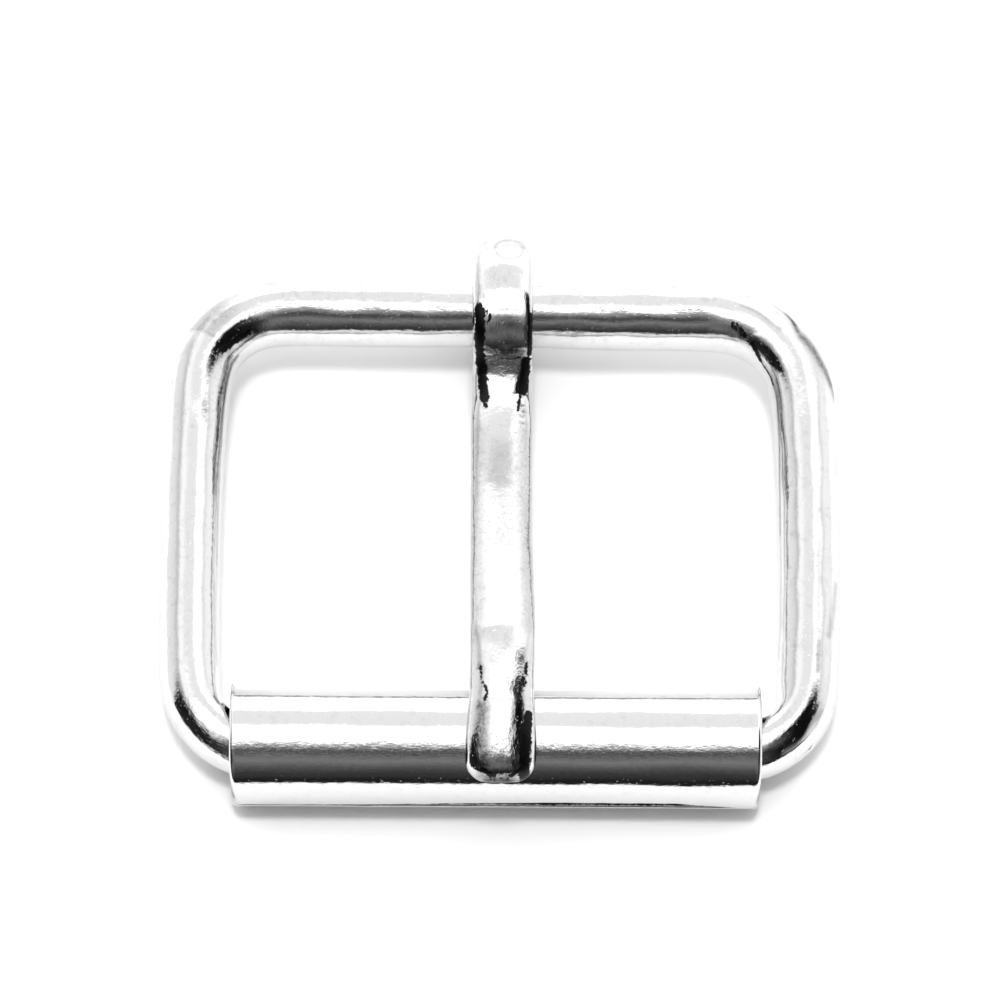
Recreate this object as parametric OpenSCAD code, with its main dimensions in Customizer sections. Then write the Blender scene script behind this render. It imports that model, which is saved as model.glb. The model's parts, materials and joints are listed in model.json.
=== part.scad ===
// Single prong roller buckle, lying as it rests: on its roller in front and on the eye of its prong behind.
// Millimetres. X runs along the bars, -Y points to the roller and the prong's tip, Z is up from the surface.
// The origin is on the surface, under the middle of the whole buckle.

/* [Wire frame] */
// Width of the strap that passes through the frame
strap_w = 38; // [25:1:50]
// Diameter of the frame's round wire
wire_d = 4.4; // [3.6:0.1:4.8]
// Distance between the back bar and the front bar, centre to centre
bar_gap = 33.3; // [31:0.1:40]
// Bend radius of the two corners at the back bar, at the wire's centre
back_corner_r = 5.9; // [5:0.1:8]
// Bend radius of the two corners at the front bar, at the wire's centre
front_corner_r = 5.4; // [5:0.1:5.8]

/* [Roller] */
// Outer diameter of the roller
roller_d = 8; // [7.6:0.1:8.8]
// Thickness of the roller's sheet metal
roller_wall = 0.6; // [0.4:0.05:0.7]
// How much shorter the roller is than the strap is wide
roller_end_room = 2; // [2:0.1:4]
// Radius of the turned-in edge at each end of the roller
roller_edge_r = 0.3; // [0.1:0.05:0.35]
// How far the front bar lies below the middle of the roller
bar_drop = 0.2; // [0:0.05:0.4]
// How far the roller's middle lies behind the front bar
roller_back = 0.1; // [0:0.05:0.3]

/* [Prong] */
// Width of the prong across the shank
prong_w = 4.2; // [3.4:0.1:5]
// Thickness of the flattened prong wire
prong_t = 3.1; // [2.4:0.1:3.2]
// Room between the back bar and the inside of the prong's eye
eye_play = 0.15; // [0.1:0.05:0.4]
// Slope at which the shank leaves the eye, in degrees below level
eye_leave = 60; // [57:1:62]
// Slope at which the shank climbs to the roller, in degrees
climb = 16; // [15:1:18]
// Slope at which the prong crosses the roller, in degrees below level
crossing = 8; // [6:1:10]
// Slope at which the turned-down tip ends, in degrees below level
tip_slope = 38; // [30:1:42]
// Room between the prong and the roller it lies on
prong_gap = 0.15; // [0.1:0.05:0.4]
// How far the prong sits to the right of the middle
prong_x = 0.4; // [-4:0.1:4]

/* [Hidden] */
$fn = 96;

wire_r = wire_d / 2;
roller_r = roller_d / 2;
roller_l = strap_w - roller_end_room;
eye_mid_r = wire_r + eye_play + prong_t / 2;
eye_r = eye_mid_r + prong_t / 2;

// Heights above the surface of the two bars and the roller's middle
back_bar_z = eye_r;
roller_z = roller_r;
front_bar_z = roller_z - bar_drop;

// The frame's outline in its own plane, with the back bar on y = 0 and the front bar on y = -frame_l
frame_tilt = atan((back_bar_z - front_bar_z) / bar_gap);
frame_l = round(1000 * bar_gap / cos(frame_tilt)) / 1000;
side_x = strap_w / 2 + wire_r;

// The prong's centreline, seen from the side. A pose is [y, z, slope], measured from the back bar's centre, where a
// positive slope climbs towards the tip. A run is [turn, size]: a bend of that many degrees and that radius, or with no
// turn a straight run of that length.
TURN = 0;
SIZE = 1;
heel_r = 2.9;
dip_r = 16;
crest_r = 5;
beak_r = 5.5;
nose_r = 3;
heel_slope = -22;
beak_slope = -20;
tail_open = 20;

function ahead(slope) = [-cos(slope), sin(slope)];
function above(slope) = [sin(slope), cos(slope)];
function spot(pose) = [pose[0], pose[1]];
function bend_shift(from, run) = sign(run[TURN]) * run[SIZE] * (above(from) - above(from + run[TURN]));
function shift(from, run) = run[TURN] == 0 ? run[SIZE] * ahead(from) : bend_shift(from, run);
function after(pose, run) = concat(spot(pose) + shift(pose[2], run), pose[2] + run[TURN]);
function poses(start, runs, i = 0) =
    i == len(runs) ? [start] : concat([start], poses(after(start, runs[i]), runs, i + 1));

eye_exit = concat(eye_mid_r * above(-eye_leave), -eye_leave);
hollow = [[eye_leave + heel_slope, heel_r], [climb - heel_slope, dip_r]];
crest = [-climb - crossing, crest_r];

// The point where the prong lies on the roller, and the two straight runs that bring the centreline to it
roller_mid = [roller_back - bar_gap, roller_z - back_bar_z];
contact = roller_mid + (roller_r + prong_gap + prong_t / 2) * above(-crossing);
hollow_end = spot(poses(eye_exit, hollow)[len(hollow)]);
way = contact - hollow_end - bend_shift(climb, crest);
climb_l = cross(way, ahead(-crossing)) / cross(ahead(climb), ahead(-crossing));
crossing_l = cross(ahead(climb), way) / cross(ahead(climb), ahead(-crossing));
past_contact = 0.3;

runs = concat(hollow, [
    [0, climb_l],
    crest,
    [0, crossing_l + past_contact],
    [beak_slope + crossing, beak_r],
    [-tip_slope - beak_slope, nose_r],
]);
prong_poses = poses(eye_exit, runs);
tip = prong_poses[len(runs)];

// The back bar's place, which puts the origin under the middle of the buckle
bar_y = -(eye_r + tip[0] - prong_t / 2) / 2;

// Every second run of the prong is a hair thicker than its neighbours, which reach a little way into it
run_swell = 0.02;
run_lap = 0.1;
function lap_l(swell) = swell == 0 ? run_lap : 0;

// The roller's seam: a narrow groove along its lower front side
seam_w = 0.16;
seam_depth = 0.3;
seam_below = 10;

// A quarter turn of the wire, with its straight neighbours ending on x = radius and y = radius
module wire_corner(radius) {
    rotate_extrude(angle = 90) translate([radius, 0]) circle(d = wire_d);
}

module cross_bar(corner_r) {
    rotate([0, 90, 0]) cylinder(d = wire_d, h = 2 * (side_x - corner_r), center = true);
}

module frame_side() {
    translate([side_x - back_corner_r, -back_corner_r]) wire_corner(back_corner_r);
    translate([side_x, front_corner_r - frame_l]) rotate([-90, 0, 0])
        cylinder(d = wire_d, h = frame_l - back_corner_r - front_corner_r);
    translate([side_x - front_corner_r, front_corner_r - frame_l]) mirror([0, 1]) wire_corner(front_corner_r);
}

module wire_frame() {
    color("silver") translate([0, bar_y, back_bar_z]) rotate([frame_tilt, 0, 0]) {
        cross_bar(back_corner_r);
        translate([0, -frame_l, 0]) cross_bar(front_corner_r);
        frame_side();
        mirror([1, 0, 0]) frame_side();
    }
}

// Half of the cut through the tube's wall, from the middle of its length to one end
module roller_wall_cut() {
    inner_r = roller_r - roller_wall;
    translate([inner_r, 0]) square([roller_wall, roller_l / 2 - roller_edge_r]);
    translate([inner_r, roller_l / 2 - roller_edge_r - 0.01])
        square([roller_wall - roller_edge_r, roller_edge_r + 0.01]);
    translate([roller_r - roller_edge_r, roller_l / 2 - roller_edge_r]) circle(r = roller_edge_r);
}

module roller() {
    color("gainsboro") translate([0, bar_y + roller_mid[0], roller_z]) rotate([0, 90, 0]) difference() {
        rotate_extrude() {
            roller_wall_cut();
            mirror([0, 1]) roller_wall_cut();
        }
        rotate([0, 0, seam_below - 90]) translate([roller_r - seam_depth, -seam_w / 2, -roller_l / 2 - 1])
            cube([1, seam_w, roller_l + 2]);
    }
}

// The prong's cut: flat above and below, half round at the sides; x is its thickness, y its width
module prong_cut(swell) {
    thick = prong_t + 2 * swell;
    square([thick, prong_w - prong_t], center = true);
    for (side = [-1, 1]) translate([0, side * (prong_w - prong_t) / 2]) circle(d = thick);
}

// A bend in the side view, about the point [y, z] and between two angles counted from the back
module prong_bend(centre, radius, from, to, swell) {
    lap = lap_l(swell) / radius * 180 / PI;
    translate([0, centre[0], centre[1]]) rotate([90, 0, 90]) rotate([0, 0, from - lap])
        rotate_extrude(angle = to - from + 2 * lap) translate([radius, 0]) prong_cut(swell);
}

module prong_straight(pose, length, swell) {
    lap = lap_l(swell);
    translate([0, pose[0], pose[1]]) rotate([90 - pose[2], 0, 0])
        translate([0, 0, -lap]) linear_extrude(length + 2 * lap) rotate([0, 0, 90]) prong_cut(swell);
}

module prong_run(pose, run, swell) {
    slope = pose[2];
    radius = run[SIZE];
    if (run[TURN] == 0)
        prong_straight(pose, run[SIZE], swell);
    else if (run[TURN] > 0)
        prong_bend(spot(pose) + radius * above(slope), radius, 270 - slope - run[TURN], 270 - slope, swell);
    else
        prong_bend(spot(pose) - radius * above(slope), radius, 90 - slope, 90 - slope - run[TURN], swell);
}

module prong() {
    color("silver") translate([prong_x, bar_y, back_bar_z]) {
        prong_bend([0, 0], eye_mid_r, tail_open - 180, 90 + eye_leave, 0);
        for (i = [0 : len(runs) - 1]) prong_run(prong_poses[i], runs[i], i % 2 == 0 ? run_swell : 0);
        translate([0, tip[0], tip[1]]) {
            rotate([0, 90, 0]) cylinder(d = prong_t, h = prong_w - prong_t, center = true);
            for (side = [-1, 1]) translate([side * (prong_w - prong_t) / 2, 0, 0]) sphere(d = prong_t);
        }
    }
}

wire_frame();
roller();
prong();
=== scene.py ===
import json
import math

import bpy
import numpy as np
from mathutils import Matrix


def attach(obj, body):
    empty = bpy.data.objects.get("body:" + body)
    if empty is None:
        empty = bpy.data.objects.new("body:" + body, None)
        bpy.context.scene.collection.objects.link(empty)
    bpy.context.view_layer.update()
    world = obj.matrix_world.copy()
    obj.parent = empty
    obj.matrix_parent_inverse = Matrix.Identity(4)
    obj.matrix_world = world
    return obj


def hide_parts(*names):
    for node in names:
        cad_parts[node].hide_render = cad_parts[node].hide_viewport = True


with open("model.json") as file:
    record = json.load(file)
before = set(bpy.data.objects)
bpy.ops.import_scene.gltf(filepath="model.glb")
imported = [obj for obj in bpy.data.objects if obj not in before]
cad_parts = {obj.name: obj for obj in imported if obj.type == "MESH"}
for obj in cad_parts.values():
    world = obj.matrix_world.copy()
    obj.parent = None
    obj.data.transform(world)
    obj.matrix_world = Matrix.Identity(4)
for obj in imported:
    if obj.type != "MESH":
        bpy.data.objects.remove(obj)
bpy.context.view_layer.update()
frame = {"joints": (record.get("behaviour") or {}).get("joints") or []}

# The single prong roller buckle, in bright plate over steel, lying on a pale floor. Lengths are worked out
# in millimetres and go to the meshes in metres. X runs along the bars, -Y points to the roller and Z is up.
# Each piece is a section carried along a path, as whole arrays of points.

MM = 0.001
joints = {joint["name"]: np.array(joint["pos_m"]) / MM for joint in frame["joints"]}
PRONG_X, BAR_Y, BAR_Z = joints["prong_swing"]
ROLLER_Y, ROLLER_Z = joints["roller_spin"][1:]

# How far apart the points are at which bends are added up
PATH_STEP = 0.02

# Frame wire: how far its sides lie from the middle, the distance between its bars, the height of the front
# bar, how far its sides bow out, the bend radii of its corners, each at the back and at the front, and how
# softly a corner begins
SIDE_X = 21.2
BAR_GAP = 33.3
FRONT_BAR_Z = 3.8
SIDE_BOW = 0.4
LEFT_CORNERS = (6.4, 5.8)
RIGHT_CORNERS = (6.8, 5.0)
CORNER_BLEND = 0.7
# The radius of the wire on the back bar, along the sides and on the front bar, and where in front of the
# back bar the sides are thinnest
BACK_WIRE_R = 2.24
SIDE_WIRE_R = 2.12
FRONT_WIRE_R = 2.14
SIDE_FROM = 10
SIDE_TO = 16
# How much thicker still the back bar is on both sides of the prong, how far from the middle that sets in, and
# how far in front of the back bar it fades out
THICKENING = 0.07
THICKENING_IN = (3.5, 6)
THICKENING_OUT = (4, 10)
# How the bars slope across the frame, how much wider it is in front, and how far the inside of its corners
# is pressed in
BACK_BAR_SLOPE = 0.009
FRONT_BAR_SLOPE = -0.004
FRONT_WIDENING = 0.01
BACK_PRESS = 0.25
FRONT_PRESS = 0.6

# Marks on the frame, each (strength, width in mm, points), some real and some painted dark reflections. A
# point is how far along the wire it is, in mm from the middle of the front bar to the right, and how many
# degrees from the top of the wire towards the middle.
FRAME_STAINS_AND_PAINTED_REFLECTIONS = [
    # The first five are painted dark reflections: the ends of the dark bands on the back corners, and the top
    # of the dark line inside the right side.
    (0.62, 0.45, [(53.4, 30), (52.5, 36), (51.4, 43)]),
    (0.95, 0.26, [(51.2, 46), (50.6, 53), (49.8, 61)]),
    (0.75, 0.13, [(49.4, 48), (48.8, 47), (48.4, 39), (49.1, 35), (49.3, 40)]),
    (0.75, 0.18, [(49.8, 61), (49.1, 64), (48.2, 62), (46.9, 61)]),
    (0.9, 0.28, [(91.6, 27), (91.0, 33), (90.3, 36), (89.4, 39), (88.6, 40)]),
    (0.7, 0.12, [(19.6, -80), (19.9, -84), (20.2, -79)]),
]
FRAME_SHADES = [
    # The first five are painted dark reflections: thin dark lines along the inside of the left and the right
    # side.
    (0.8, 0.12, [(90.8, 64), (92, 62), (95.85, 61), (99, 62)]),
    (0.5, 0.12, [(99, 62), (103.6, 61), (108.1, 62)]),
    (0.25, 0.12, [(108.1, 62), (112.8, 57), (115.7, 61)]),
    (0.75, 0.13, [(46.9, 61), (45.4, 58), (43.7, 60), (41.5, 64), (38, 70), (35, 71)]),
    (0.35, 0.12, [(35, 71), (32.9, 69), (28.3, 66), (25.4, 72)]),
    (0.4, 0.25, [(52.4, -60), (51.0, -52)]),
    (0.9, 0.22, [(51.0, -52), (50.4, -46), (49.7, -36)]),
    (0.75, 0.42, [(49.2, -36), (48.6, -42), (47.5, -47), (46.5, -58), (45.6, -75)]),
    (0.2, 0.12, [(33.85, -14), (29.26, -14), (26.28, -17)]),
    (0.5, 0.12, [(26.28, -17), (23.95, -17)]),
    (0.3, 0.12, [(53.4, -9), (52.4, -9), (51.15, -6), (50.3, -9)]),
    (0.35, 0.15, [(91.0, -60), (91.0, 0)]),
    (0.3, 0.25, [(30.9, -57), (26.86, -40)]),
]
FRAME_ROUGH = [
    (1.0, 0.5, [(118.5, -25), (120.3, -35), (121.5, -48), (122.4, -62)]),
    (0.8, 0.2, [(53, 8), (60, 9), (70, 9), (80, 9), (88, 9)]),
    (1.0, 0.5, [(52, 45), (50.3, 62)]),
    (0.6, 0.9, [(48.8, -20), (46.5, -45)]),
]

# A darker patch on the right back corner: where along the wire it fades in and out, which side of the wire it
# is on and how far round it reaches in radians, and its strength
PATCH_IN = (87.6, 89.6)
PATCH_OUT = (90.95, 91.1)
PATCH_SIDE = -0.56
PATCH_SPREAD = 0.6
PATCH_STRENGTH = 0.38

# Roller: its radius, length, wall, the length of its round edges, and how far it has slid to the right
ROLLER_R = 4.0
ROLLER_L = 36.0
ROLLER_WALL = 0.6
ROLLER_EDGE = 0.28
ROLLER_X = -0.2
# Its open seam, in degrees below the front: the middle, the lower edge and, at places along the roller, the
# upper edge; then its depth, the unevenness of its two edges and the width over which they fall away, both
# in degrees
SEAM_MIDDLE = 9.5
SEAM_LOW = 14.2
SEAM_X = [-18, -16.3, -10.9, -5.4, 0, 4.1, 12.2, 14.9, 16.6]
SEAM_TOP = [13.2, 12.0, 11.4, 7.6, 4.6, 3.2, 3.2, 8.5, 14.2]
SEAM_DEPTH = 0.3
SEAM_TOP_RAGGED = 0.35
SEAM_LOW_RAGGED = 0.4
SEAM_FALL = 0.6
# How far the ends are cut back at the seam on the left and on the right, over what turn in radians, and the
# burr at both ends: its height, its place and reach round the roller in degrees, and its place from the end
# and reach along it
SEAM_CUT = (0.4, 0.3)
CUT_REACH = 0.5
BURR_HEIGHT = 0.4
BURR_TURN = 30
BURR_REACH = 9
BURR_INSET = 0.1
BURR_LENGTH = 0.22
# How deep in the wall the outside's unevenness has died away, and how deep it begins to
SKIN_DEPTH = 0.4
SKIN_FULL = 0.1
# Fine rings scratched round it, each (strength, width, place along it), and a rougher line along it, in
# degrees from the back over the top
ROLLER_RINGS = [(0.2, 0.05, 10.55), (0.14, 0.05, 14.27)]
RUBBED_TURN = 119
RUBBED_REACH = 5

# Prong: width, thickness, the radius of its round eye, the slopes at which the eye starts and ends, and the
# runs of its centreline behind and ahead of its climb, each (turn in degrees, length in mm)
PRONG_W = 4.2
PRONG_T = 3.1
EYE_R = 3.9
EYE_START = 261
EYE_END = 11
RUNS_BEHIND = [(-33, 3), (-40, 1.4), (0, 0.6), (40, 2.4), (17.5, 2.9), (26.5, 12.3)]
RUNS_AHEAD = [(-26, 1.6), (-9, 6), (-9, 1.4), (-16, 0.7)]
# The foot of the eye is where this many of the runs behind the climb have ended
FOOT_RUNS = 3
# How its section changes, each as places past the foot of the eye in mm and values there: how square it is
# on the left and on the right, the height of its crown and how far to the right the crown lies
LEFT_SQUARENESS = ([-2, -1, 1, 4, 6.5, 26, 29], [5, 4, 3.2, 2.6, 8, 8, 4])
RIGHT_SQUARENESS = ([0.3, 2.2, 4, 6.5, 26, 29], [10, 3.2, 2.6, 8, 8, 4])
CROWN_HEIGHT = ([-5, -2.6, 0.5, 4, 6.5], [0.2, 0.12, 0.12, 0.05, 0.3])
CROWN_MIDDLE = ([0.5, 4], [0.3, 0])
# The room between the prong and the roller, how far the prong has slid to the right, how far its shank bows
# to the right and widens to each side, and where past the foot of the eye
PRONG_GAP = 0.15
PRONG_SLIDE = -0.3
SHANK_BOW = 0.14
BOW_MIDDLE = 26
BOW_REACH = 7
SHANK_WIDENING = 0.1
WIDENING_MIDDLE = 25
WIDENING_REACH = 8
# The tip: how far it runs on past the last bend, how much it swells to each side, where before its end and
# over what reach, and how much narrower its nose is on each side; and how far the cut tail is rounded
TIP_LENGTH = 1.2
TIP_SWELL = 0.28
SWELL_BACK = 2.2
SWELL_REACH = 3.0
NOSE_NARROWING = 1.5
TAIL_ROUND = 0.25
# Where its marks fade out and where they are full, as shares of its thickness above the middle
MARKS_FADE = (-0.3, -0.05)

# Marks on the prong's upper side, each (strength, width in mm, points), some real and some painted shade and
# painted dark reflections. A point is how far past the foot of the eye it is and how far to the right of the
# middle, in mm. One mark is a ring on top of the eye.
RING_TURN = np.linspace(0, 2 * math.pi, 17)
EYE_RING = np.stack([-6.2 + 0.92 * np.cos(RING_TURN), 0.44 + 0.99 * np.sin(RING_TURN)], -1)
PRONG_STAINS_AND_PAINTED_SHADE = [
    # The next six are painted dark reflections: dark strips down both flanks in front of the eye.
    (1.0, 0.44, [(-2.2, -1.55), (-0.9, -1.58), (1.3, -1.45)]),
    (0.95, 0.42, [(1.3, -1.38), (3.4, -1.3), (4.5, -1.2)]),
    (0.7, 0.3, [(4.5, -1.25), (5.1, -1.1)]),
    (1.0, 0.22, [(-1.9, 1.9), (0.0, 1.88)]),
    (1.0, 0.42, [(0.5, 1.62), (1.8, 1.6), (3.8, 1.42)]),
    (0.8, 0.16, [(4.0, 1.25), (5.4, 1.12)]),
    (0.75, 0.14, [(-2.2, -1.1), (-1.9, -0.85), (-1.7, -1.0)]),
    (0.65, 0.2, [(28.8, -1.45), (29.7, -1.4), (30.5, -1.0), (31.2, -1.1)]),
    (1.0, 0.3, [(32.0, 1.85), (32.8, 1.8)]),
    (1.0, 0.46, [(32.8, 1.7), (35.9, 1.62)]),
    (0.62, 0.32, [(28.6, 1.6), (29.8, 1.5), (30.9, 1.15)]),
    (0.8, 0.3, [(35.3, -1.2), (35.7, -0.4)]),
    (0.8, 0.3, [(35.7, 0.7), (35.3, 1.4)]),
    # Painted shadow under a bump across the heel.
    (0.75, 0.13, [(0.3, 0.0), (0.45, 0.7), (0.1, 1.3)]),
]
PRONG_SHADES = [
    (0.3, 0.12, EYE_RING),
    (0.08, 0.6, [(-6.2, 0.2), (-6.2, 0.7)]),
    # The next six are painted shade and painted dark reflections on the heel, in front of the eye.
    (0.45, 0.13, [(-1.9, -0.9), (-1.85, 0.3), (-1.95, 1.45)]),
    (0.3, 0.12, [(-2.25, -0.2), (-2.2, 1.1)]),
    (0.75, 0.4, [(-0.45, -1.1), (-0.35, 1.3)]),
    (0.4, 0.2, [(-1.4, -0.8), (-1.4, 1.2)]),
    (0.35, 0.5, [(1.1, -0.7), (1.1, 0.7)]),
    (0.3, 0.5, [(1.8, -0.7), (1.8, 0.5)]),
    (1.0, 0.75, [(36.1, -0.6), (36.2, 0.5)]),
    (0.65, 0.5, [(31.6, -1.15), (33.4, -1.2), (35.8, -1.15)]),
    (0.5, 0.4, [(31.4, 1.0), (33.5, 0.95), (35.6, 1.0)]),
    (0.28, 0.6, [(7, 1.4), (12, 1.4), (19, 1.5), (26, 1.6)]),
    (0.26, 0.6, [(7, -1.5), (14, -1.5), (26.5, -1.5)]),
    (0.24, 1.2, [(9, 0), (18, 0)]),
    (0.3, 0.12, [(16.2, -0.3), (16.3, 0.75)]),
    (0.25, 0.12, [(15.9, 0.35), (17.1, 0.4)]),
    # The next two are painted dark reflections: thin dark lines along both edges of the shank.
    (0.3, 0.12, [(5, -2.06), (30, -2.1)]),
    (0.22, 0.12, [(5, 2.06), (30, 2.1)]),
    (0.25, 0.12, [(31.0, -0.9), (31.2, 0.0), (31.1, 0.9)]),
]
PRONG_ROUGH = [
    (1.0, 0.9, [(0.8, -0.7), (1.0, 0.6), (1.6, 0.0)]),
    (1.0, 0.9, [(34.0, -0.2), (34.7, 0.3)]),
    (0.6, 0.5, [(-6.2, 0.1), (-6.2, 0.8)]),
    (0.7, 0.5, [(29.2, 1.5), (31.3, -1.2), (34.4, -1.2)]),
    (0.5, 0.5, [(8, 1.5), (18, 1.5)]),
]

# Camera: its angle above the floor, its distance, its scale at the origin, the picture's width in pixels,
# how far above the origin it aims in the picture, how far it is rolled in degrees, and its sensor's width
ELEVATION = 60.85
DISTANCE = 700
PIXELS_PER_MM = 14.49
IMAGE = 1000
AIM_UP = 3.97
ROLL = 0.34
SENSOR = 36


# Helpers for whole arrays of points

def smooth_step(value, low, high):
    """0 below low, 1 above high, and 3t^2 - 2t^3 between."""
    t = np.clip((value - low) / (high - low), 0, 1)
    return t * t * (3 - 2 * t)


def bump_at(value, centre, width):
    """A bell exp(-((value - centre) / width)^2)."""
    return np.exp(-((value - centre) / width) ** 2)


def ripple(points, seed, wave, count=14):
    """Soft unevenness, mostly within -1.5 to 1.5: the sum of count cosines of k . p + phase over the root
    of count, with random directions of k and lengths near 2 pi / wave."""
    rng = np.random.default_rng(seed)
    way = rng.normal(size=(count, 3))
    way *= (2 * math.pi / wave * rng.uniform(0.6, 1.5, count) / np.linalg.norm(way, axis=1))[:, None]
    phase = rng.uniform(0, 2 * math.pi, count)
    return np.cos(points @ way.T + phase).sum(-1) / math.sqrt(count)


def blurred(values, step, width):
    """values, a closed row of numbers a step apart, blurred with a bell of the given width."""
    reach = int(4 * width / step)
    kernel = np.exp(-0.5 * (np.arange(-reach, reach + 1) * step / width) ** 2)
    padded = np.pad(values, reach, mode="wrap")
    return np.convolve(padded, kernel / kernel.sum(), mode="valid")


def drawn(strokes, along, around, scale=1.0):
    """Drawn marks on a surface unrolled to along and around, in millimetres: at each place the
    strongest of strength * exp(-(way to the stroke / width)^2), where a stroke is (strength, width, its
    points), and the second number of a point is multiplied by scale."""
    mark = np.zeros(np.broadcast(along, around).shape)
    for strength, width, points in strokes:
        points = np.array(points, float) * [1, scale]
        for (u, v), (du, dv) in zip(points[:-1], np.diff(points, axis=0)):
            share = ((along - u) * du + (around - v) * dv) / max(du * du + dv * dv, 1e-9)
            share = np.clip(share, 0, 1)
            way = np.hypot(along - u - share * du, around - v - share * dv)
            mark = np.maximum(mark, strength * np.exp(-(way / width) ** 2))
    return mark


def carried(spine, across, up, out, above):
    """Points of a section carried along a path: spine + out * across + above * up, for each row of the
    path."""
    return spine[:, None] + out[..., None] * across[:, None] + above[..., None] * up[:, None]


# Meshes

def grid_faces(rows, columns, close_rows):
    """The four-sided faces of a grid whose columns close on themselves, and whose rows do too if close_rows
    is set."""
    last = rows if close_rows else rows - 1
    row, column = np.meshgrid(np.arange(last), np.arange(columns), indexing="ij")
    next_row, next_column = (row + 1) % rows, (column + 1) % columns
    corners = [(row, column), (row, next_column), (next_row, next_column), (next_row, column)]
    return np.stack([r * columns + c for r, c in corners], -1).reshape(-1, 4)


def cap_faces(first, columns, tip, flip):
    """Triangles from a ring of vertices that starts at first to the vertex tip."""
    here = np.arange(columns)
    there = (here + 1) % columns
    ring = (there, here) if flip else (here, there)
    return np.stack([first + ring[0], first + ring[1], np.full(columns, tip)], -1)


def piece(name, points, straight, ends=None):
    """A closed mesh of points[row, column], whose columns run round. Its rows close on themselves, or on
    the two points of ends. The attribute straight is each point's place on the straightened piece, in
    millimetres."""
    rows, columns = points.shape[:2]
    vertices, places = points.reshape(-1, 3), straight.reshape(-1, 3)
    quads = grid_faces(rows, columns, ends is None)
    caps = np.empty((0, 3), int)
    if ends is not None:
        tips = len(vertices)
        vertices = np.vstack([vertices, ends])
        places = np.vstack([places, straight[0].mean(0), straight[-1].mean(0)])
        first = cap_faces(0, columns, tips, True)
        last = cap_faces((rows - 1) * columns, columns, tips + 1, False)
        caps = np.vstack([first, last])
    a, b, c = (vertices[quads[:, i]] for i in (0, 1, 2))
    if np.einsum("ij,ij->", np.cross(b - a, c - a), a - vertices.mean(0)) < 0:
        quads, caps = quads[:, ::-1], caps[:, ::-1]
    mesh = bpy.data.meshes.new(name)
    mesh.from_pydata(vertices * MM, [], quads.tolist() + caps.tolist())
    mesh.attributes.new("straight", "FLOAT_VECTOR", "POINT").data.foreach_set("vector", places.ravel())
    mesh.shade_smooth()
    shown = bpy.data.objects.new(name, mesh)
    bpy.context.scene.collection.objects.link(shown)
    return shown


def mark(shown, name, values):
    """Gives a piece a number for each vertex, between 0 and 1, which its material reads."""
    full = np.zeros(len(shown.data.vertices))
    full[: values.size] = values.ravel()
    shown.data.attributes.new(name, "FLOAT", "POINT").data.foreach_set("value", full)


# The wire frame

def frame_half(step, back_r, front_r):
    """One half of the wire's centreline, from the middle of the back bar to the middle of the front bar, in
    the frame's own plane. Its heading is the running sum of a blurred curvature: straight, a corner, the
    bowed side, a corner, straight. The result is stretched a little to the true width and length."""
    lean = math.asin(4 * SIDE_BOW / BAR_GAP)
    side = BAR_GAP - back_r - front_r
    runs = [
        (SIDE_X - back_r, 0),
        (back_r * (math.pi / 2 - lean), 1 / back_r),
        (side, 2 * lean / side),
        (front_r * (math.pi / 2 - lean), 1 / front_r),
        (SIDE_X - front_r, 0),
    ]
    ends = np.cumsum([length for length, _ in runs])
    along = (np.arange(int(ends[-1] / step)) + 0.5) * step
    curve = np.array([bend for _, bend in runs])[np.searchsorted(ends, along)]
    both = blurred(np.concatenate([curve, curve[::-1]]), step, CORNER_BLEND)
    curve = both[: len(along)]
    heading = np.cumsum(curve) * step - curve * step / 2
    heading *= math.pi / (curve.sum() * step)
    x, down = np.cumsum(np.cos(heading)) * step, np.cumsum(np.sin(heading)) * step
    return x * SIDE_X / x.max(), down * BAR_GAP / down[-1]


def frame_path(count):
    """The whole centreline, starting in the middle of the front bar inside the roller, as count points an
    equal way apart: x, the way forward from the back bar, and the distance run."""
    right_x, right_down = frame_half(PATH_STEP, *RIGHT_CORNERS)
    left_x, left_down = frame_half(PATH_STEP, *LEFT_CORNERS)
    x = np.concatenate([right_x[::-1], -left_x])
    down = np.concatenate([right_down[::-1], left_down])
    run = np.concatenate([[0], np.cumsum(np.hypot(np.diff(x), np.diff(down)))])
    place = np.linspace(0, run[-1], count, endpoint=False)
    x, down = np.interp(place, run, x), np.interp(place, run, down)
    return x, down, place


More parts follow.
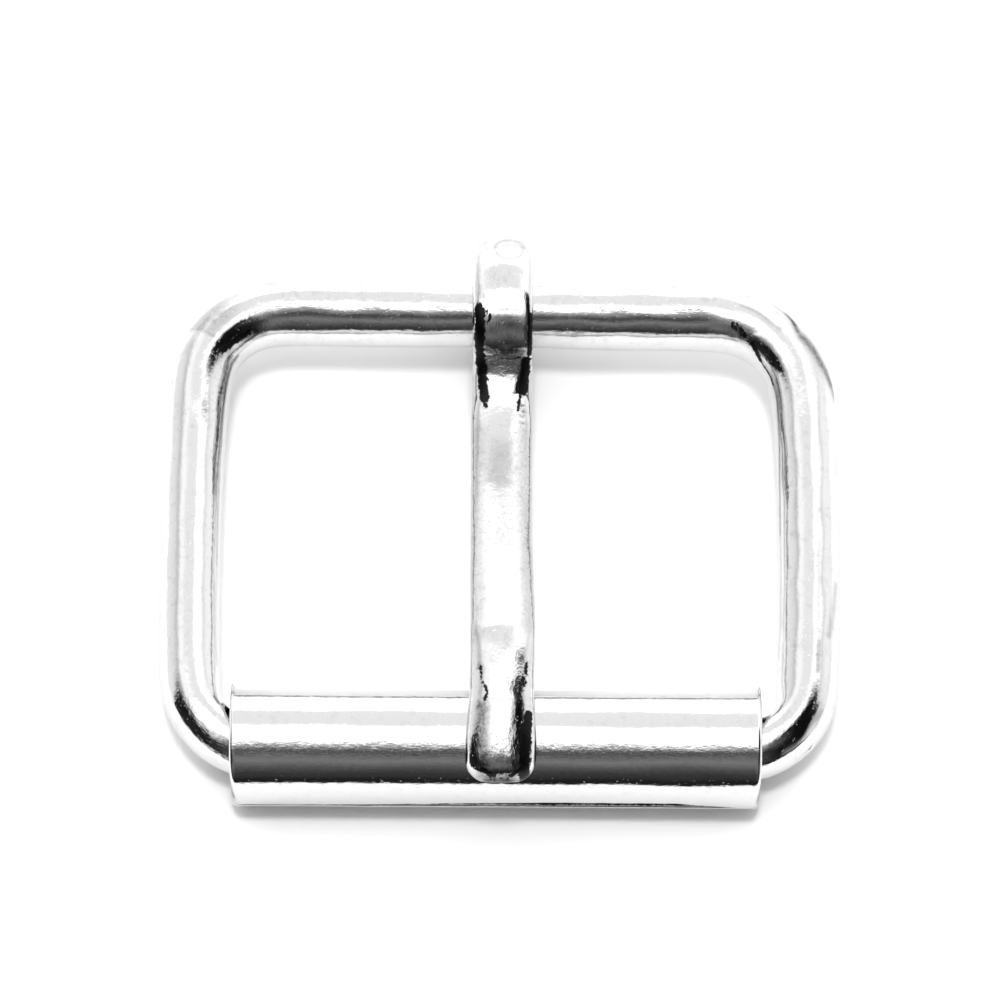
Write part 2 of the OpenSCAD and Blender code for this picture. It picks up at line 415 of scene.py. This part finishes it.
def frame_surface(rows=1000, columns=96):
    """A round section of radius r carried round the frame's closed path: points and their places on the
    straightened wire. r is a little larger on the back bar and less on the sides, and uneven by a few
    hundredths of a millimetre. On the inside of the corners it is less by BACK_PRESS or FRONT_PRESS times
    (2 hx hy)^2 cos^2, where h is the way the wire runs."""
    x, down, place = frame_path(rows)
    x = x * (1 + FRONT_WIDENING * (down / BAR_GAP - 0.5))
    height = BAR_Z + (FRONT_BAR_Z - BAR_Z) * down / BAR_GAP
    skew = -x * (BACK_BAR_SLOPE + (FRONT_BAR_SLOPE - BACK_BAR_SLOPE) * down / BAR_GAP)
    spine = np.stack([x, BAR_Y - down + skew, height], -1)
    ahead = np.roll(spine, -1, 0) - np.roll(spine, 1, 0)
    ahead /= np.linalg.norm(ahead, axis=1)[:, None]
    tilt = math.atan2(BAR_Z - FRONT_BAR_Z, BAR_GAP)
    up = np.tile([0, -math.sin(tilt), math.cos(tilt)], (rows, 1))
    across = np.cross(ahead, up)
    across /= np.linalg.norm(across, axis=1)[:, None]
    up = np.cross(across, ahead)
    angle = np.linspace(0, 2 * math.pi, columns, endpoint=False)
    places = [0, SIDE_FROM, SIDE_TO, BAR_GAP]
    radius = np.interp(down, places, [BACK_WIRE_R, SIDE_WIRE_R, SIDE_WIRE_R, FRONT_WIRE_R])
    thick = smooth_step(np.abs(x), *THICKENING_IN) * (1 - smooth_step(down, *THICKENING_OUT))
    radius = (radius + THICKENING * thick)[:, None] + 0 * angle
    bend = (2 * ahead[:, 0] * ahead[:, 1]) ** 2
    press = bend * np.where(down < BAR_GAP / 2, BACK_PRESS, FRONT_PRESS)
    straight = np.stack([place[:, None] + 0 * angle, radius * np.cos(angle), radius * np.sin(angle)], -1)
    radius = radius + 0.012 * ripple(straight * [0.35, 1, 1], seed=3, wave=1.6)
    radius = radius + 0.02 * ripple(straight * [0.3, 1, 1], seed=4, wave=5)
    radius = radius - press[:, None] * np.clip(-np.cos(angle), 0, 1) ** 2
    return carried(spine, across, up, radius * np.cos(angle), radius * np.sin(angle)), straight


def wire_frame():
    """The frame's wire with its marks, by how far along the wire and how far round it from the top they
    lie."""
    points, straight = frame_surface()
    shown = piece("frame_wire", points, straight)
    along = straight[..., 0]
    turn = (np.arctan2(straight[..., 2], straight[..., 1]) + math.pi / 2) % (2 * math.pi) - math.pi
    around = SIDE_WIRE_R * turn
    scale = math.radians(SIDE_WIRE_R)
    patch = smooth_step(along, *PATCH_IN) * (1 - smooth_step(along, *PATCH_OUT))
    patch = patch * bump_at(turn, PATCH_SIDE, PATCH_SPREAD)
    # Besides real marks, these paint dark reflections on the back corners and along the inside of the sides.
    mark(shown, "tarnish", drawn(FRAME_STAINS_AND_PAINTED_REFLECTIONS, along, around, scale))
    mark(shown, "shade", np.maximum(drawn(FRAME_SHADES, along, around, scale), PATCH_STRENGTH * patch))
    mark(shown, "rough", drawn(FRAME_ROUGH, along, around, scale))
    return shown


# The roller

def wall_section(outer_points=220, inner_points=60, edge_points=10):
    """The closed outline of the tube's wall as distance along X and radius: out along the outside, round
    the right end as half an ellipse, back along the inside and round the left end."""
    reach = ROLLER_L / 2 - ROLLER_EDGE
    thick = ROLLER_WALL / 2
    middle = ROLLER_R - thick
    turn = np.linspace(0, math.pi, edge_points, endpoint=False)
    outside = np.linspace(-reach, reach, outer_points, endpoint=False)
    inside = np.linspace(reach, -reach, inner_points, endpoint=False)
    edge, rise = ROLLER_EDGE * np.sin(turn), thick * np.cos(turn)
    along = np.concatenate([outside, reach + edge, inside, -reach - edge])
    outer = np.full(outer_points, ROLLER_R)
    inner = np.full(inner_points, ROLLER_R - ROLLER_WALL)
    radius = np.concatenate([outer, middle + rise, inner, middle - rise])
    return along, radius


def seam_slot(x, below):
    """1 inside the open seam and 0 outside: between two edges, in degrees below the front, the upper one
    bowed."""
    line = np.stack([x, 0 * x, 0 * x], -1)
    top = np.interp(x, SEAM_X, SEAM_TOP) + SEAM_TOP_RAGGED * ripple(line, seed=21, wave=1.5)
    low = SEAM_LOW + SEAM_LOW_RAGGED * ripple(line, seed=22, wave=2.5)
    past_top = smooth_step(below, top - SEAM_FALL, top + SEAM_FALL)
    return past_top * (1 - smooth_step(below, low - SEAM_FALL, low + SEAM_FALL))


def roller():
    """The wall's section turned about the roller's axis, with an open seam where the sheet's edges meet,
    which takes SEAM_DEPTH off the radius, and the ends cut back by SEAM_CUT exp(-(turn from the seam /
    CUT_REACH)^2) beside it. Behind the top, both ends have a small burr. The turn is 0.12 s + 0.88 s^3 of
    half a circle for s from -1 to 1, so the points lie closest at the seam."""
    along, radius = wall_section()
    spread = np.linspace(-1, 1, 300, endpoint=False)
    turn = math.pi * (0.12 * spread + 0.88 * spread ** 3)
    angle = (math.radians(SEAM_MIDDLE) + turn) % (2 * math.pi) - math.pi
    x, around = np.meshgrid(along, turn, indexing="ij")
    wall = radius[:, None] + 0 * around
    outer = smooth_step(wall, ROLLER_R - SKIN_DEPTH, ROLLER_R - SKIN_FULL)
    straight = np.stack([x, wall * np.cos(angle), wall * np.sin(angle)], -1)
    slot = outer * seam_slot(x, SEAM_MIDDLE + np.degrees(around))
    wall = wall - SEAM_DEPTH * slot
    uneven = 0.006 * ripple(straight * [0.3, 1, 1], seed=7, wave=2.2)
    uneven = uneven + 0.01 * ripple(straight * [0.15, 1, 1], seed=8, wave=6)
    wall = wall + outer * uneven
    burr = bump_at(np.abs(x), ROLLER_L / 2 - BURR_INSET, BURR_LENGTH)
    burr = burr * bump_at(np.degrees(angle), BURR_TURN, BURR_REACH)
    wall = wall + outer * BURR_HEIGHT * burr
    cut = bump_at(around, 0, CUT_REACH) * np.where(x < 0, *SEAM_CUT) / (ROLLER_L / 2)
    y = ROLLER_Y + wall * np.cos(angle)
    z = ROLLER_Z + wall * np.sin(angle)
    shown = piece("roller_tube", np.stack([ROLLER_X + x * (1 - cut), y, z], -1), straight)
    rings = sum(strength * bump_at(x, place, width) for strength, width, place in ROLLER_RINGS)
    # The open seam is painted black: painted shade in the gap between the sheet's edges.
    mark(shown, "tarnish", slot)
    mark(shown, "shade", rings * (wall > ROLLER_R - SKIN_DEPTH / 2))
    mark(shown, "rough", bump_at(np.degrees(angle) + 0 * x, RUBBED_TURN, RUBBED_REACH))
    return shown


# The prong

def run_path(runs, start, step=PATH_STEP, soft=0.35):
    """A centreline seen from the side, made of runs, each (turn in degrees, length), that starts at 0, 0
    with a slope in degrees. Gives the distance run, y, z and slope of points a step apart, and where each
    run ends. The slope is the running sum of the curvature, which is softened over the length soft."""
    ends = np.cumsum([length for _, length in runs])
    along = (np.arange(int(ends[-1] / step)) + 0.5) * step
    curve = np.array([math.radians(turn) / length for turn, length in runs])[np.searchsorted(ends, along)]
    reach = int(soft / step)
    kernel = np.hanning(2 * reach + 1)
    curve = np.convolve(np.pad(curve, reach, mode="edge"), kernel / kernel.sum(), mode="valid")
    slope = math.radians(start) + np.cumsum(curve) * step
    return along, np.cumsum(-np.cos(slope)) * step, np.cumsum(np.sin(slope)) * step, slope, ends


def placed_prong(climb_l):
    """The prong's centreline with a climb of the given length, from the cut tail to the tip, and with the
    eye's end at its place on the circle about the back bar."""
    turn = EYE_START - EYE_END
    runs = [(-turn, math.radians(turn) * EYE_R), *RUNS_BEHIND, (0, climb_l), *RUNS_AHEAD]
    along, y, z, slope, ends = run_path(runs, EYE_START)
    leave = math.radians(EYE_END)
    y += EYE_R * math.sin(leave) - np.interp(ends[0], along, y)
    z += EYE_R * math.cos(leave) - np.interp(ends[0], along, z)
    return along, y, z, slope, ends


def prong_path():
    """The prong's centreline, lying on the roller. A trial with a climb of 10 mm gives the points q ahead
    of the climb, seen from the roller's axis. The climb changes by the largest of all
    -q . d + sqrt((q . d)^2 - q . q + R^2), where d is the climb's direction and R is how far the
    centreline stays from the axis."""
    trial = 10.0
    along, y, z, _, ends = placed_prong(trial)
    ahead = along > ends[len(RUNS_BEHIND) + 1]
    q = np.stack([y - (ROLLER_Y - BAR_Y), z - (ROLLER_Z - BAR_Z)], -1)[ahead]
    rise = math.radians(EYE_END + sum(turn for turn, _ in RUNS_BEHIND))
    forward = q @ [-math.cos(rise), math.sin(rise)]
    room = forward ** 2 - (q * q).sum(-1) + (ROLLER_R + PRONG_GAP + PRONG_T / 2) ** 2
    return placed_prong(trial + np.max((np.sqrt(np.clip(room, 0, None)) - forward)[room > 0]))


def round_end(way, reach):
    """A quarter circle's height, from 0 at the end to 1 at reach from it and beyond."""
    return np.sqrt(np.clip(1 - (np.clip(reach - way, 0, None) / reach) ** 2, 1e-6, 1))


def prong(rows=680, columns=128):
    """A section |out / w|^n + |up / t|^n = 1 carried along the prong's path, with w, t and n changing along
    it. On its broad side it has a crown 1 - c ((out - middle) / w)^2. It is squarest on the right of the
    eye and along the shank, rounder in the heel and at the tip, and rounded off over the last half
    thickness at the tip and a little at the cut tail."""
    fine, y_fine, z_fine, slope_fine, ends = prong_path()
    total = fine[-1] + TIP_LENGTH
    along = np.linspace(0, total, rows)
    past_eye = along - ends[FOOT_RUNS]
    inside = np.clip(along, 0, fine[-1])
    y, z, slope = (np.interp(inside, fine, values) for values in (y_fine, z_fine, slope_fine))
    past = along - inside
    y, z = y - past * np.cos(slope), z + past * np.sin(slope)
    x = PRONG_X + PRONG_SLIDE + SHANK_BOW * bump_at(past_eye, BOW_MIDDLE, BOW_REACH)
    spine = np.stack([x, BAR_Y + y, BAR_Z + z], -1)
    up = np.stack([0 * y, np.sin(slope), np.cos(slope)], -1)
    across = np.tile([1.0, 0.0, 0.0], (len(y), 1))
    half_w = PRONG_W / 2 + TIP_SWELL * bump_at(along, total - SWELL_BACK, SWELL_REACH)
    half_w = half_w + SHANK_WIDENING * bump_at(past_eye, WIDENING_MIDDLE, WIDENING_REACH)
    nose = round_end(total - along, PRONG_T / 2)
    tail = round_end(along, TAIL_ROUND)
    half_w = half_w - (1 - nose) * NOSE_NARROWING - TAIL_ROUND * (1 - tail)
    half_t = PRONG_T / 2 * nose - TAIL_ROUND * (1 - tail)
    angle = np.linspace(0, 2 * math.pi, columns, endpoint=False)
    cosine, sine = np.cos(angle), np.sin(angle)
    tables = (LEFT_SQUARENESS, RIGHT_SQUARENESS, CROWN_HEIGHT, CROWN_MIDDLE)
    left, right, crown, middle = (np.interp(past_eye, *table)[:, None] for table in tables)
    square = (left + right) / 2 + (right - left) / 2 * cosine
    wide, thick = half_w[:, None], half_t[:, None]
    reach = ((np.abs(cosine) / wide) ** square + (np.abs(sine) / thick) ** square) ** (-1 / square)
    out = reach * cosine
    above = reach * sine * (1 - crown * ((out - middle) / wide) ** 2)
    straight = np.stack([along[:, None] + 0 * angle, out, above], -1)
    uneven = 1 + 0.003 * ripple(straight, seed=11, wave=1.8)
    uneven = uneven + 0.005 * ripple(straight * [0.6, 1, 1], seed=12, wave=4)
    points = carried(spine, across, up, out * uneven, above * uneven)
    tips = np.array([points[0].mean(0), points[-1].mean(0)])
    shown = piece("prong_wire", points, straight, tips)
    upper = smooth_step(above / PRONG_T, *MARKS_FADE)
    spot = past_eye[:, None] + 0 * angle
    # Besides real marks, these paint shade and dark reflections on the heel, the flanks and the shank's
    # edges.
    for kind, strokes in (("tarnish", PRONG_STAINS_AND_PAINTED_SHADE), ("shade", PRONG_SHADES), ("rough", PRONG_ROUGH)):
        mark(shown, kind, upper * drawn(strokes, spot, out))
    return shown


# Materials

class Value:
    """A socket whose sums, differences, products and quotients add Math nodes."""

    def __init__(self, shader, socket):
        self.shader, self.socket = shader, socket

    def math(self, operation, first, second):
        return self.shader.add("Math", {"operation": operation}, {0: first, 1: second})

    def __add__(self, other):
        return self.math("ADD", self, other)

    def __sub__(self, other):
        return self.math("SUBTRACT", self, other)

    def __mul__(self, other):
        return self.math("MULTIPLY", self, other)

    def __truediv__(self, other):
        return self.math("DIVIDE", self, other)

    def __neg__(self):
        return self.math("MULTIPLY", self, -1.0)

    def over(self, low, high):
        """0 below low, 1 above high, and a smooth way between."""
        inputs = {"Value": self, "From Min": low, "From Max": high}
        return self.shader.add("MapRange", {"interpolation_type": "SMOOTHSTEP"}, inputs)


class Shader:
    """Adds nodes to a material's or the world's tree."""

    def __init__(self, owner):
        owner.use_nodes = True
        self.tree = owner.node_tree
        self.tree.nodes.clear()

    def add(self, kind, settings=None, inputs=None, out=0):
        """A node of a type, with its settings first and then its sockets' values or links; gives one of its
        outputs."""
        node = self.tree.nodes.new("ShaderNode" + kind)
        for name, value in (settings or {}).items():
            if name == "stops":
                self.fill(node.color_ramp, value)
            else:
                setattr(node, name, value)
        for name, value in (inputs or {}).items():
            if isinstance(value, Value):
                self.tree.links.new(value.socket, node.inputs[name])
            else:
                node.inputs[name].default_value = value
        return Value(self, node.outputs[out]) if node.outputs else node

    @staticmethod
    def fill(ramp, stops):
        """Sets a ramp's stops, each a place and a grey."""
        while len(ramp.elements) < len(stops):
            ramp.elements.new(0.5)
        for element, (place, grey) in zip(ramp.elements, stops):
            element.position = place
            element.color = (grey, grey, grey, 1)

    def ramp(self, value, stops):
        return self.add("ValToRGB", {"stops": stops}, {0: value})

    def mix(self, factor, first, second):
        """A colour between two, by a factor; a number stands for a grey."""
        first, second = ((v, v, v, 1) if isinstance(v, float) else v for v in (first, second))
        return self.add("Mix", {"data_type": "RGBA"}, {0: factor, 6: first, 7: second}, out=2)

    def noise(self, place, scale, detail=3.0, roughness=0.5):
        inputs = {"Vector": place, "Scale": scale, "Detail": detail, "Roughness": roughness}
        return self.add("TexNoise", {}, inputs)

    def stretched(self, place, scale):
        """A place with each of its three parts multiplied."""
        return self.add("VectorMath", {"operation": "MULTIPLY"}, {0: place, 1: scale})

    def number(self, name):
        """A number that the mesh has for each vertex."""
        return self.add("Attribute", {"attribute_name": name}, {}, out=2)

    def place(self, name):
        """A vector that the mesh has for each vertex."""
        return self.add("Attribute", {"attribute_name": name}, {}, out=1)


# The plate's greys where it is bright and dulled, the black of its tarnish and of painted shade and painted
# dark reflections, and its tint at the edges
BRIGHT, DULL, BLACK = 0.70, 0.56, 0.02
EDGE_TINT = (0.85, 0.85, 0.85, 1)


def plated_metal(name, peel, mottle, pits):
    """Bright plate over drawn steel: a mirror with orange peel of the given height in mm, faint mottling of
    the given strength and pits of the given depth in mm. The marks on the pieces add thin darker lines, some
    of them painted shade and painted dark reflections, dark tarnish and painted shade with uneven edges,
    and rougher places."""
    material = bpy.data.materials.new(name)
    shader = Shader(material)
    place = shader.place("straight")
    shade, tarnish, rough = (shader.number(kind) for kind in ("shade", "tarnish", "rough"))
    broad = shader.noise(place, scale=0.7, detail=2.0)
    fine = shader.noise(place, scale=2.2, detail=4.0, roughness=0.6)
    grain = shader.noise(shader.stretched(place, (0.25, 1.0, 1.0)), scale=9.0)
    crisp = shader.noise(place, scale=3.5, detail=5.0, roughness=0.7)
    speck = shader.noise(place, scale=5.0, detail=2.0).over(0.66, 0.74)
    blotch = shader.noise(place, scale=1.3, detail=4.0, roughness=0.65).over(0.5, 0.75)
    # Tarnish and painted shade turn black here, with uneven edges.
    stain_and_painted_shade = (tarnish + (crisp - 0.5) * 1.5).over(0.48, 0.56)
    height = (fine * peel + grain * (peel * 0.3)) * (rough * 3.0 + 1.0)
    height = height + broad * (peel * 1.5) - speck * pits
    normal = shader.add("Bump", {}, {"Strength": 1.0, "Distance": MM, "Height": height})
    clean = shader.mix(blotch * mottle, BRIGHT, DULL)
    # Real marks, painted shade and painted dark reflections darken the colour here.
    colour = shader.mix(stain_and_painted_shade, shader.mix(shade * (crisp * 1.6 + 0.2), clean, BLACK), BLACK)
    gloss = blotch * 0.08 + rough * 0.02 + stain_and_painted_shade * 0.3 + 0.04
    metal = shader.add("BsdfPrincipled", {}, {
        "Base Color": colour, "Metallic": 1.0, "Roughness": gloss,
        "Specular Tint": EDGE_TINT, "Normal": normal})
    shader.add("OutputMaterial", {}, {"Surface": metal})
    return material


def matt(name, grey):
    """A plain matt grey."""
    material = bpy.data.materials.new(name)
    shader = Shader(material)
    paint = shader.add("BsdfDiffuse", {}, {"Color": (grey, grey, grey, 1)})
    shader.add("OutputMaterial", {}, {"Surface": paint})
    return material


# The studio

# The studio's light by direction: for each x of the direction, from -1 at the left to 1 at the right, stops
# of the angle round the X axis in degrees, from 0 at the front horizon over 90 overhead to 180 at the back,
# and the light there. The front is a dark room under a white ceiling, with a light grey panel behind it.
STUDIO = {
    -0.94: [
        (0, 0.02), (40, 0.02), (60, 0.012), (102, 0.012), (108, 0.10), (113, 0.7), (125, 0.9), (180, 0.95)],
    -0.80: [
        (0, 0.01), (20, 0.012), (30, 0.02), (36, 0.01), (44, 0.012), (60, 0.008), (75, 0.006),
        (104, 0.008), (108, 0.12), (112, 0.6), (120, 0.8), (140, 0.85), (180, 0.95)],
    -0.68: [
        (0, 0.02), (30, 0.04), (38, 0.02), (54, 0.03), (62, 0.08), (70, 0.3), (80, 0.5), (103, 0.5),
        (112, 0.6), (125, 0.65), (150, 0.7), (180, 0.95)],
    -0.54: [
        (0, 0.06), (20, 0.10), (35, 0.04), (46, 0.06), (52, 0.10), (58, 0.35), (64, 0.9), (72, 1.3),
        (100, 1.3), (107, 1.1), (140, 1.1), (180, 1.0)],
    -0.46: [
        (0, 0.08), (20, 0.13), (35, 0.05), (46, 0.07), (53, 0.16), (60, 0.20), (68, 0.35), (74, 0.9),
        (78, 1.45), (98, 1.45), (103, 0.9), (108, 1.12), (139, 1.12), (143, 1.45), (180, 1.2)],
    -0.22: [
        (0, 0.05), (13, 0.08), (23, 0.16), (38, 0.14), (46, 0.2), (54, 0.22), (60, 0.3), (66, 0.42),
        (71, 0.65), (76, 1.5), (106, 1.5), (110, 0.95), (139, 0.9), (142, 1.5)],
    0.00: [
        (0, 0.02), (6, 0.035), (13, 0.042), (20, 0.068), (26, 0.098), (32, 0.15), (38, 0.21), (44, 0.16),
        (50, 0.07), (56, 0.06), (61, 0.15), (68, 0.3), (73, 0.45), (76, 1.5), (106, 1.5), (109, 0.93),
        (140, 0.96), (142, 1.5)],
    0.20: [
        (0, 0.05), (13, 0.07), (29, 0.18), (38, 0.17), (46, 0.13), (54, 0.13), (60, 0.2), (66, 0.42),
        (71, 0.7), (76, 1.5), (106, 1.5), (110, 0.95), (137, 0.96), (142, 1.5)],
    0.30: [
        (0, 0.06), (17, 0.1), (30, 0.12), (41, 0.06), (47, 0.09), (54, 0.22), (60, 0.22), (66, 0.35),
        (72, 0.7), (76, 1.45), (104, 1.45), (180, 1.45)],
    0.38: [
        (0, 0.05), (30, 0.05), (45, 0.03), (55, 0.08), (68, 0.12), (76, 0.05), (83, 0.012), (102, 0.012),
        (107, 0.4), (111, 1.45), (180, 1.2)],
    0.62: [
        (0, 0.02), (12, 0.012), (28, 0.005), (55, 0.012), (75, 0.006), (104, 0.005), (109, 0.09),
        (113, 0.9), (116, 1.2), (150, 1.1), (180, 0.95)],
    0.70: [
        (0, 0.2), (14, 0.2), (24, 0.1), (30, 0.05), (42, 0.01), (75, 0.005), (96, 0.01), (104, 0.1),
        (110, 0.75), (140, 0.95), (180, 1.05)],
    0.80: [
        (0, 0.3), (12, 0.2), (18, 0.12), (24, 0.08), (30, 0.04), (36, 0.015), (48, 0.005), (84, 0.005),
        (92, 0.02), (98, 0.3), (106, 0.9), (140, 1.05), (180, 1.05)],
    0.87: [
        (0, 0.5), (18, 0.4), (26, 0.2), (33, 0.04), (40, 0.01), (84, 0.005), (92, 0.05), (98, 0.4),
        (106, 0.9), (140, 1.05), (180, 1.05)],
    0.94: [(0, 0.85), (40, 0.75), (55, 0.55), (75, 0.55), (90, 0.75), (120, 0.95), (180, 0.95)],
}
STUDIO_STRENGTH = 1.23

# The sheets on the floor, in metres: half the width of both, the back edge of the black cloth, and how far
# the cloth lies above the white paper
SHEET_HALF = 1.5
CLOTH_EDGE = -0.050
CLOTH_LIFT = 0.0002


def sky():
    """A soft white studio as the table gives it, with smooth ways between its columns."""
    world = bpy.data.worlds.new("studio")
    bpy.context.scene.world = world
    shader = Shader(world)
    way = shader.add("TexCoord")
    x, y, z = (shader.add("SeparateXYZ", {}, {0: way}, out=i) for i in range(3))
    turned = x.math("ARCTAN2", z, -y) / math.pi
    light, before = None, None
    for aside, stops in STUDIO.items():
        column = shader.ramp(turned, [(degrees / 180, grey) for degrees, grey in stops])
        light = column if light is None else shader.mix(x.over(before, aside), light, column)
        before = aside
    sky_light = shader.add("Background", {}, {"Color": light, "Strength": STUDIO_STRENGTH})
    shader.add("OutputWorld", {}, {"Surface": sky_light})


def lamp(name, energy, spread, lean):
    """A distant lamp that is spread over so many degrees of the sky and leans so many to the front of
    overhead."""
    light = bpy.data.lights.new(name, "SUN")
    light.energy = energy
    light.angle = math.radians(spread)
    shown = bpy.data.objects.new(name, light)
    shown.rotation_euler = (math.radians(lean), 0, 0)
    shown.visible_glossy = False
    bpy.context.scene.collection.objects.link(shown)


def flat_sheet(name, back, height, material):
    """A level sheet from the front of the studio to y = back, in metres."""
    half = SHEET_HALF
    corners = [(-half, -half, height), (half, -half, height), (half, back, height), (-half, back, height)]
    mesh = bpy.data.meshes.new(name)
    mesh.from_pydata(corners, [], [(0, 1, 2, 3)])
    mesh.materials.append(material)
    shown = bpy.data.objects.new(name, mesh)
    bpy.context.scene.collection.objects.link(shown)
    return shown


def dark_cloth():
    """A black cloth in front of the picture, which shows only in reflections."""
    cloth = flat_sheet("dark_cloth", CLOTH_EDGE, CLOTH_LIFT, matt("black_cloth", 0.012))
    cloth.visible_camera = cloth.visible_diffuse = cloth.visible_shadow = False


def camera():
    """Looks down at the buckle from the front. Its lens gives the picture's pixels per millimetre at the
    origin."""
    lens = bpy.data.cameras.new("camera")
    lens.sensor_width = SENSOR
    lens.lens = SENSOR * PIXELS_PER_MM * DISTANCE / IMAGE
    lens.clip_start, lens.clip_end = 0.01, 10
    rise = math.radians(ELEVATION)
    upright = np.array([0, math.sin(rise), math.cos(rise)])
    back = np.array([0, -math.cos(rise), math.sin(rise)])
    place = (AIM_UP * upright + DISTANCE * back) * MM
    shown = bpy.data.objects.new("camera", lens)
    turn = Matrix.Rotation(math.pi / 2 - rise, 4, "X") @ Matrix.Rotation(math.radians(ROLL), 4, "Z")
    shown.matrix_world = Matrix.Translation(place.tolist()) @ turn
    bpy.context.scene.collection.objects.link(shown)
    bpy.context.scene.camera = shown
    bpy.context.scene.view_settings.view_transform = "Standard"


def fit_piece(shown, body, node, material):
    """Puts a piece on its body in place of its node."""
    shown.data.materials.append(material)
    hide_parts(node)
    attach(shown, body)


camera()
sky()
lamp("overhead", energy=1.3, spread=9, lean=10)
lamp("fill", energy=1.1, spread=100, lean=0)
flat_sheet("floor", SHEET_HALF, 0, matt("white_paper", 0.93))
dark_cloth()
frame_plate = plated_metal("frame_plate", peel=0.012, mottle=0.6, pits=0.006)
roller_plate = plated_metal("roller_plate", peel=0.008, mottle=0.4, pits=0.003)
prong_plate = plated_metal("prong_plate", peel=0.016, mottle=0.8, pits=0.010)
fit_piece(wire_frame(), "frame", "wire_frame", frame_plate)
fit_piece(roller(), "roller", "roller", roller_plate)
fit_piece(prong(), "prong", "prong", prong_plate)
